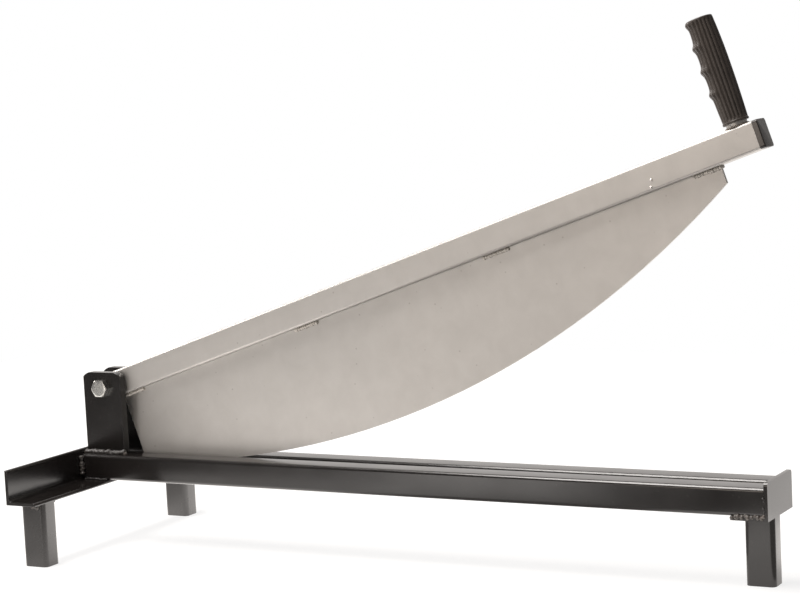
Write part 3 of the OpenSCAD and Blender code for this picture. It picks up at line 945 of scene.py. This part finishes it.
def grip_tree():
    tree, given = new_tree("Grip flutes and finger ridges", GRIP_INPUTS, "Grip")
    sum_of = partial(calc, tree)

    def ease(value, low, high):
        return remap(tree, value, low, high, 0.0, 1.0, "SMOOTHSTEP")

    point = add(tree, "GeometryNodeInputPosition").outputs["Position"]
    axes = add(tree, "ShaderNodeSeparateXYZ", {"Vector": point}).outputs
    outwards = add(tree, "ShaderNodeVectorMath", {
        0: add(tree, "ShaderNodeCombineXYZ", {"X": axes["X"], "Y": axes["Y"]}).outputs["Vector"],
    }, operation="NORMALIZE").outputs["Vector"]
    angle = sum_of("ARCTAN2", axes["Y"], axes["X"])
    radius = sum_of("SQRT", sum_of("ADD", sum_of("POWER", axes["X"], 2.0), sum_of("POWER", axes["Y"], 2.0)))
    outer = sum_of("GREATER_THAN", radius, sum_of("MULTIPLY", given["Bore"], 1.15))
    finger_side = ease(sum_of("MULTIPLY", sum_of("COSINE", angle), -1.0), -0.1, 0.75)

    # Ribs: the cosine's absolute value has round crowns and sharp valleys. They are shallower at the fingers
    turns = sum_of("MULTIPLY", angle, sum_of("MULTIPLY", given["Ribs"], 0.5))
    wave = sum_of("ABSOLUTE", sum_of("COSINE", turns))
    from_rim = ease(axes["Z"], given["Rib start"], sum_of("ADD", given["Rib start"], RIB_FADE))
    past_end = ease(axes["Z"], sum_of("SUBTRACT", given["Rib end"], RIB_FADE), given["Rib end"])
    to_top = sum_of("SUBTRACT", 1.0, past_end)
    calm = sum_of("SUBTRACT", 1.0, sum_of("MULTIPLY", finger_side, FINGER_CALM))
    depth = sum_of("MULTIPLY", given["Rib depth"], calm)
    shown = sum_of("MULTIPLY", sum_of("MULTIPLY", from_rim, to_top), depth)
    rib = sum_of("MULTIPLY", sum_of("SUBTRACT", wave, 1.0), shown)

    # Ridges: one at each whole number of pitches down from the first
    pitches = sum_of("DIVIDE", sum_of("SUBTRACT", given["First ridge"], axes["Z"]), given["Ridge pitch"])
    nearest = sum_of("ROUND", pitches)
    off = sum_of("MULTIPLY", sum_of("SUBTRACT", pitches, nearest), given["Ridge pitch"])
    widths = sum_of("DIVIDE", off, given["Ridge width"])
    bell = sum_of("EXPONENT", sum_of("MULTIPLY", sum_of("POWER", widths, 2.0), -1.0))
    counted = sum_of("LESS_THAN", nearest, sum_of("SUBTRACT", given["Ridges"], 0.5))
    ridge = sum_of("MULTIPLY", sum_of("MULTIPLY", bell, counted), given["Ridge height"])
    hollow = sum_of("POWER", sum_of("SINE", sum_of("MULTIPLY", pitches, math.pi)), 2.0)
    last = sum_of("SUBTRACT", given["Ridges"], 1.0)
    between = sum_of("MULTIPLY", sum_of("GREATER_THAN", pitches, 0.0), sum_of("LESS_THAN", pitches, last))
    hollowed = sum_of("MULTIPLY", hollow, between)
    finger = sum_of("SUBTRACT", ridge, sum_of("MULTIPLY", hollowed, given["Scallop"]))
    moved = sum_of("ADD", rib, sum_of("MULTIPLY", finger, finger_side))
    shift = add(tree, "ShaderNodeVectorMath", {
        0: outwards, "Scale": sum_of("MULTIPLY", moved, outer),
    }, operation="SCALE").outputs["Vector"]
    formed = add(tree, "GeometryNodeSetPosition", {"Geometry": given["Blank"], "Offset": shift})
    return end_tree(tree, formed.outputs["Geometry"], given["Rubber"], "Grip")


FIRST_RIDGE = 4 * MM
run_tree(grip, grip_tree(), {
    "Ribs": 20.0, "Rib depth": 1.3 * MM, "Rib start": RIM_H, "Rib end": GRIP_LEN - 2 * MM,
    "First ridge": GRIP_LEN - FIRST_RIDGE, "Ridge pitch": 24.8 * MM, "Ridges": 4.0, "Ridge height": 2.2 * MM,
    "Ridge width": 3.6 * MM, "Scallop": 0.5 * MM, "Bore": GRIP_BORE, "Rubber": rubber,
})
grip.data.transform(on_arm @ Matrix.Translation((bar_u, 0, grip_lo.z)))
dress(grip, rubber, "lever", "black_rubber", "hand_grip")

# %% [markdown]
# ## Floor, light and camera
# The photograph has hardly a shadow, so here the machine stands on a light table: a milky sheet lit from
# below. Glossy black shows little but what it mirrors, so where the sheet is bright matters more than how
# bright it is. A lamp under it makes it brightest at the left, and three patches are brighter than what
# lies round them. It is dim past the right end of the bed, under the bed and at the far left. The sheet
# ends a little way in front of the bed. The camera sees it plain and pale, with the object's faint shadow.

# %% Light table
TABLE_LEFT, TABLE_RIGHT, TABLE_FRONT, TABLE_BACK = -1.6, 1.6, -0.4, 1.6
GLOW_LAMP = 2.5
GLOW_REST = 1.15
LAMP_UNDER = (-0.28, 0.22, 0.0)
LAMP_REACH = (0.2, 0.5)
SPOTS = [((0.33, -0.25, 0.0), 1.25), ((0.5, 0.19, 0.0), 1.7), ((-0.22, 0.09, 0.0), 1.3)]
SPOT_REACH = (0.06, 0.16)
RIGHT_EDGE = (0.442, 0.456)
EDGE_SLANT = 0.55
PAST_EDGE = 0.12
SHADE_ACROSS = (0.08, 0.16)
SHADE_STARTS, SHADE_ENDS = (-0.22, 0.0), (0.24, 0.3)
SHADE_LOSS = 0.85
LEFT_EDGE, LEFT_FRONT = (-0.5, -0.42), (-0.28, -0.2)
LEFT_LOSS = 0.5
SEEN_GLOW = 0.8
WARM = "#fffaf6"


def light_table():
    material = bpy.data.materials.new("floor_milky_sheet_lit")
    material.use_nodes = True
    tree = material.node_tree
    tree.nodes.clear()
    sum_of = partial(calc, tree)

    def eased(value, ends, first, last):
        """Goes softly from first to last while the value goes from one end to the other."""
        return remap(tree, value, *ends, first, last, "SMOOTHSTEP")

    def distance(point):
        return add(tree, "ShaderNodeVectorMath", {0: place, 1: point}, operation="DISTANCE").outputs["Value"]

    seen = add(tree, "ShaderNodeLightPath").outputs["Is Camera Ray"]
    place = object_place(tree)
    axes = add(tree, "ShaderNodeSeparateXYZ", {"Vector": place}).outputs
    x, y = axes["X"], axes["Y"]
    spread = eased(distance(LAMP_UNDER), LAMP_REACH, GLOW_LAMP, GLOW_REST)
    beside = sum_of("SUBTRACT", x, sum_of("MULTIPLY", sum_of("MAXIMUM", y, 0.0), EDGE_SLANT))
    lit = eased(beside, RIGHT_EDGE, 1.0, PAST_EDGE)
    # Under the bed the glow is darkened: a painted shadow of the bed on the lit sheet
    across = eased(y, SHADE_ACROSS, 1.0, 0.0)
    inside = sum_of("MULTIPLY", eased(x, SHADE_STARTS, 0.0, 1.0), eased(x, SHADE_ENDS, 1.0, 0.0))
    shade = sum_of("SUBTRACT", 1.0, sum_of("MULTIPLY", sum_of("MULTIPLY", across, inside), SHADE_LOSS))
    left = sum_of("MULTIPLY", eased(x, LEFT_EDGE, 1.0, 0.0), eased(y, LEFT_FRONT, 0.0, 1.0))
    edge = sum_of("SUBTRACT", 1.0, sum_of("MULTIPLY", left, LEFT_LOSS))
    glow = sum_of("MULTIPLY", sum_of("MULTIPLY", spread, lit), sum_of("MULTIPLY", shade, edge))
    for centre, gain in SPOTS:
        glow = sum_of("MULTIPLY", glow, eased(distance(centre), SPOT_REACH, gain, 1.0))
    level = remap(tree, seen, 0.0, 1.0, glow, SEEN_GLOW)
    tint = colour_mix(tree, seen, WARM, "#ffffff")
    sheet = add(tree, "ShaderNodeBsdfDiffuse", {"Color": linear("#8a8988")})
    lamp = add(tree, "ShaderNodeEmission", {"Color": tint, "Strength": level})
    both = add(tree, "ShaderNodeAddShader", {0: sheet.outputs["BSDF"], 1: lamp.outputs["Emission"]})
    add(tree, "ShaderNodeOutputMaterial", {"Surface": both.outputs["Shader"]})
    return material


floor_mesh = bpy.data.meshes.new("floor")
floor_mesh.from_pydata(
    [(TABLE_LEFT, TABLE_FRONT, 0), (TABLE_RIGHT, TABLE_FRONT, 0), (TABLE_RIGHT, TABLE_BACK, 0),
     (TABLE_LEFT, TABLE_BACK, 0)], [], [(0, 1, 2, 3)])
floor = new_piece("floor", floor_mesh)
floor.data.materials.append(light_table())

# %% [markdown]
# ### The room
# The room in front of the table is dim, and the uprights mirror it. A white backdrop hangs behind the table,
# and the tops of the rails mirror that. The camera sees plain white all round, at a strength of 1.

# %% Room and backdrop
ROOM_FRONT = 0.2
ROOM_BACK = 1.0
BACKDROP_AT = (-0.478, 0.878, 0.0)
BACKDROP_EDGE = (0.55, 0.9)
world = bpy.data.worlds.new("studio")
bpy.context.scene.world = world
world.use_nodes = True
tree = world.node_tree
tree.nodes.clear()
direction = add(tree, "ShaderNodeTexCoord").outputs["Generated"]
towards = add(tree, "ShaderNodeVectorMath", {0: direction, 1: BACKDROP_AT}, operation="DOT_PRODUCT")
room = remap(tree, towards.outputs["Value"], *BACKDROP_EDGE, ROOM_FRONT, ROOM_BACK, "SMOOTHSTEP")
seen = add(tree, "ShaderNodeLightPath").outputs["Is Camera Ray"]
level = calc(tree, "MAXIMUM", room, seen)
tint = colour_mix(tree, seen, WARM, "#ffffff")
studio = add(tree, "ShaderNodeBackground", {"Color": tint, "Strength": level})
add(tree, "ShaderNodeOutputWorld", {"Surface": studio.outputs["Background"]})
print("room:", ROOM_FRONT, ROOM_BACK)

# %% [markdown]
# ### The lamps
# Each lamp is there for what mirrors it. A low strip in front lights the face of the front rail, and a
# softbox above it the middle of the blade. One at the left lights the finger side of the grip, a fill in
# front evens out the arm and the blade towards the handle, and a bank overhead draws the bright lines along
# rounded edges. A lamp's strength is given as the brightness of its face, so its size can change alone.

# %% Lamps
def softbox(name, place, target, width, height, radiance, tint):
    """An area lamp whose face has this radiance, turned to the target and hidden from the camera."""
    lamp = bpy.data.lights.new(name, "AREA")
    lamp.shape = "RECTANGLE"
    lamp.size = width
    lamp.size_y = height
    lamp.energy = radiance * math.pi * width * height
    lamp.color = linear(tint)[:3]
    obj = bpy.data.objects.new(name, lamp)
    bpy.context.scene.collection.objects.link(obj)
    obj.location = place
    obj.rotation_euler = (Vector(target) - Vector(place)).to_track_quat("-Z", "Y").to_euler()
    obj.visible_camera = False
    return obj


softbox("strip_low", (-1.27, -2.25, -0.46), (0.0, 0.0, 0.1), 1.0, 0.28, 2.05, WARM)
softbox("softbox_front", (-0.98, -2.25, 0.02), (0.0, 0.0, 0.2), 0.45, 0.6, 2.8, WARM)
softbox("softbox_side", (-2.0, -0.3, 1.2), (0.4, 0.0, 0.6), 0.9, 0.9, 9.0, WARM)
softbox("softbox_fill", (-0.25, -2.25, 0.62), (0.3, 0.0, 0.4), 0.65, 1.0, 2.9, "#fff0e2")
softbox("bank_overhead", (-0.8, -0.65, 3.0), (-0.8, -0.65, 0.0), 1.2, 3.1, 14.0, WARM)
print("table glow:", GLOW_LAMP, GLOW_REST)

# %% [markdown]
# ### The camera
# The camera stands where the photograph was taken, to the right of the middle and a little above, and it
# was held with a slight roll. Its place and angles were fitted to the machine's own edges.

# %% Camera
CAMERA_PLACE = Vector((1.1437, -2.1045, 0.5504))
CAMERA_YAW = math.radians(28.57)
CAMERA_PITCH = math.radians(6.188)
CAMERA_ROLL = math.radians(2.826)
FOCAL_PIXELS = 2196.8
IMAGE_WIDTH = 800
SENSOR = 36.0

forward = Vector((
    -math.sin(CAMERA_YAW) * math.cos(CAMERA_PITCH), math.cos(CAMERA_YAW) * math.cos(CAMERA_PITCH),
    -math.sin(CAMERA_PITCH)))
level_right = Vector((math.cos(CAMERA_YAW), math.sin(CAMERA_YAW), 0))
level_down = forward.cross(level_right)
right = level_right * math.cos(CAMERA_ROLL) + level_down * math.sin(CAMERA_ROLL)
up = level_right * math.sin(CAMERA_ROLL) - level_down * math.cos(CAMERA_ROLL)
turn = Matrix((right, up, -forward)).transposed().to_4x4()
lens = bpy.data.cameras.new("camera")
lens.sensor_width = SENSOR
lens.sensor_fit = "HORIZONTAL"
lens.lens = FOCAL_PIXELS / IMAGE_WIDTH * SENSOR
camera = bpy.data.objects.new("camera", lens)
bpy.context.scene.collection.objects.link(camera)
camera.matrix_world = Matrix.Translation(CAMERA_PLACE) @ turn
bpy.context.scene.camera = camera
bpy.context.scene.view_settings.view_transform = "Standard"
print("lens, mm:", round(lens.lens, 2))
